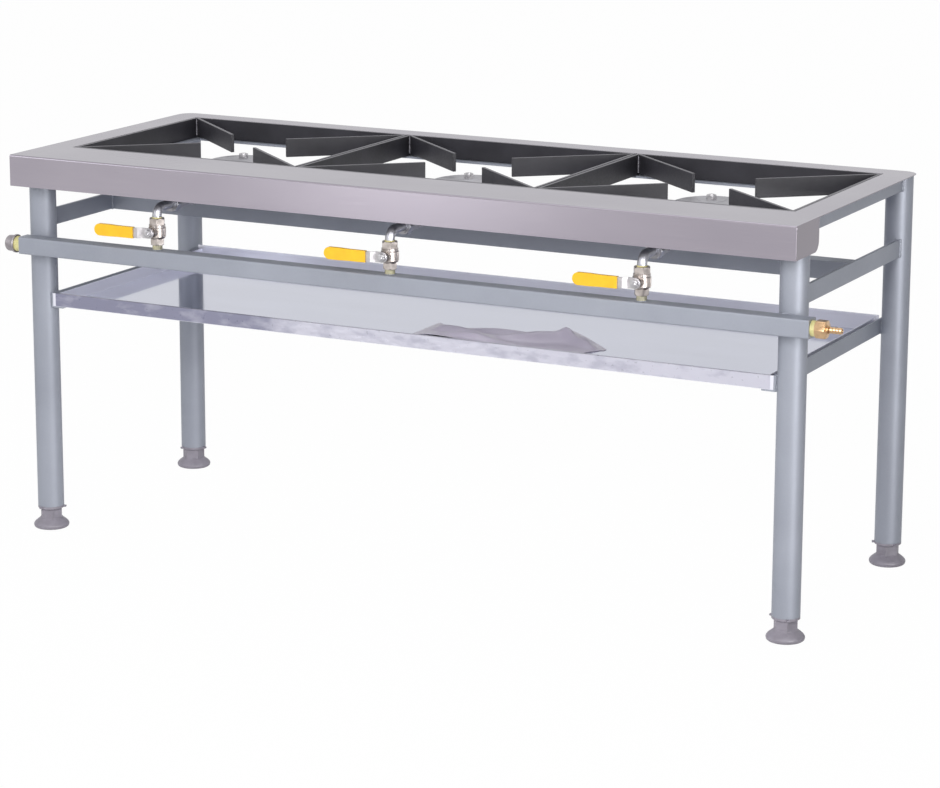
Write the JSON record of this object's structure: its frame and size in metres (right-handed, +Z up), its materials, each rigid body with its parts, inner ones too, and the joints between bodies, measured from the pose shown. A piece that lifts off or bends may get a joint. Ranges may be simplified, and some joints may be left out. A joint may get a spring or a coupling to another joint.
{
  "type": "boiling table",
  "caption": "Low floor-standing gas boiling table: tube-leg frame, stainless surround, lift-out pan supports over cast burners, front gas tube with lever valves, tray shelf and screw feet.",
  "frame": {"origin": "on the floor, under the centre of the box around the table and its gas tube's end fittings", "axes": "+X to the right as seen by the cook, along the table's length and towards the gas inlet; +Y to the back; +Z up"},
  "size_m": [1.277, 0.4802, 0.56],
  "materials": {
    "stainless_sheet": "satin brushed",
    "shelf_sheet": "bright rolled, nearly mirror",
    "frame_paint": "blue-grey hammered enamel",
    "black_enamel": "black heat-proof enamel, satin",
    "burner_cast": "silver-grey painted casting",
    "nickel": "nickel-plated, satin",
    "plated_steel": "zinc-plated, satin",
    "lever_steel": "zinc-plated, smooth",
    "lever_vinyl": "dipped vinyl, soft gloss",
    "chromed_ball": "polished",
    "brass": "turned",
    "thread_tape": "matt",
    "seal_plastic": "smooth",
    "foot_plastic": "matt moulded"
  },
  "bodies": {
    "table": {"top_surround": "stainless_sheet", "support_ledges": "frame_paint", "top_bar_left": "frame_paint", "top_bar_right": "frame_paint", "top_bar_front": "frame_paint", "leg_front_left": "frame_paint", "leg_front_right": "frame_paint", "leg_rear_left": "frame_paint", "leg_rear_right": "frame_paint", "leg_sockets": "foot_plastic", "lower_bar_left": "frame_paint", "lower_bar_right": "frame_paint", "burner_bar": "frame_paint", "shelf_bar_left": "frame_paint", "shelf_bar_right": "frame_paint", "shelf_tray": "shelf_sheet", "gas_manifold": "frame_paint", "manifold_cap": "plated_steel", "inlet_hose_tail": "brass", "thread_tapes": "thread_tape", "valve_seals": "seal_plastic", "valve_body_1": "nickel", "valve_body_2": "nickel", "valve_body_3": "nickel", "valve_retainer_1": "nickel", "valve_retainer_2": "nickel", "valve_retainer_3": "nickel", "feed_pipe_1": "plated_steel", "feed_pipe_2": "plated_steel", "feed_pipe_3": "plated_steel", "injector_holder_1": "plated_steel", "injector_holder_2": "plated_steel", "injector_holder_3": "plated_steel", "burner_body_1": "burner_cast", "burner_body_2": "burner_cast", "burner_body_3": "burner_cast", "burner_cap_1": "burner_cast", "burner_cap_2": "burner_cast", "burner_cap_3": "burner_cast", "burner_cap_studs": "plated_steel"},
    "valve_lever_1": {"lever_blade_1": "lever_steel", "lever_sleeve_1": "lever_vinyl", "valve_stem_1": "nickel", "valve_ball_1": "chromed_ball"},
    "valve_lever_2": {"lever_blade_2": "lever_steel", "lever_sleeve_2": "lever_vinyl", "valve_stem_2": "nickel", "valve_ball_2": "chromed_ball"},
    "valve_lever_3": {"lever_blade_3": "lever_steel", "lever_sleeve_3": "lever_vinyl", "valve_stem_3": "nickel", "valve_ball_3": "chromed_ball"},
    "support_1": {"pan_support_1": "black_enamel"},
    "support_2": {"pan_support_2": "black_enamel"},
    "support_3": {"pan_support_3": "black_enamel"},
    "foot_front_left": {"foot_front_left": "foot_plastic"},
    "foot_front_right": {"foot_front_right": "foot_plastic"},
    "foot_rear_left": {"foot_rear_left": "foot_plastic"},
    "foot_rear_right": {"foot_rear_right": "foot_plastic"}
  },
  "joints": [
    {"name": "valve_turn_1", "type": "hinge", "parent": "table", "child": "valve_lever_1", "pos_m": [-0.38328, -0.2329, 0.4665], "axis": [0, -1, 0], "range_deg": [0, 90]},
    {"name": "valve_turn_2", "type": "hinge", "parent": "table", "child": "valve_lever_2", "pos_m": [-0.01095, -0.2329, 0.4665], "axis": [0, -1, 0], "range_deg": [0, 90]},
    {"name": "valve_turn_3", "type": "hinge", "parent": "table", "child": "valve_lever_3", "pos_m": [0.36138, -0.2329, 0.4665], "axis": [0, -1, 0], "range_deg": [0, 90]},
    {"name": "support_lift_1", "type": "slide", "parent": "table", "child": "support_1", "axis": [0, 0, 1], "range_m": [0, 0.12]},
    {"name": "support_lift_2", "type": "slide", "parent": "table", "child": "support_2", "axis": [0, 0, 1], "range_m": [0, 0.12]},
    {"name": "support_lift_3", "type": "slide", "parent": "table", "child": "support_3", "axis": [0, 0, 1], "range_m": [0, 0.12]},
    {"name": "foot_screw_front_left", "type": "slide", "parent": "table", "child": "foot_front_left", "axis": [0, 0, -1], "range_m": [0, 0.02]},
    {"name": "foot_screw_front_right", "type": "slide", "parent": "table", "child": "foot_front_right", "axis": [0, 0, -1], "range_m": [0, 0.02]},
    {"name": "foot_screw_rear_left", "type": "slide", "parent": "table", "child": "foot_rear_left", "axis": [0, 0, -1], "range_m": [0, 0.02]},
    {"name": "foot_screw_rear_right", "type": "slide", "parent": "table", "child": "foot_rear_right", "axis": [0, 0, -1], "range_m": [0, 0.02]}
  ]
}
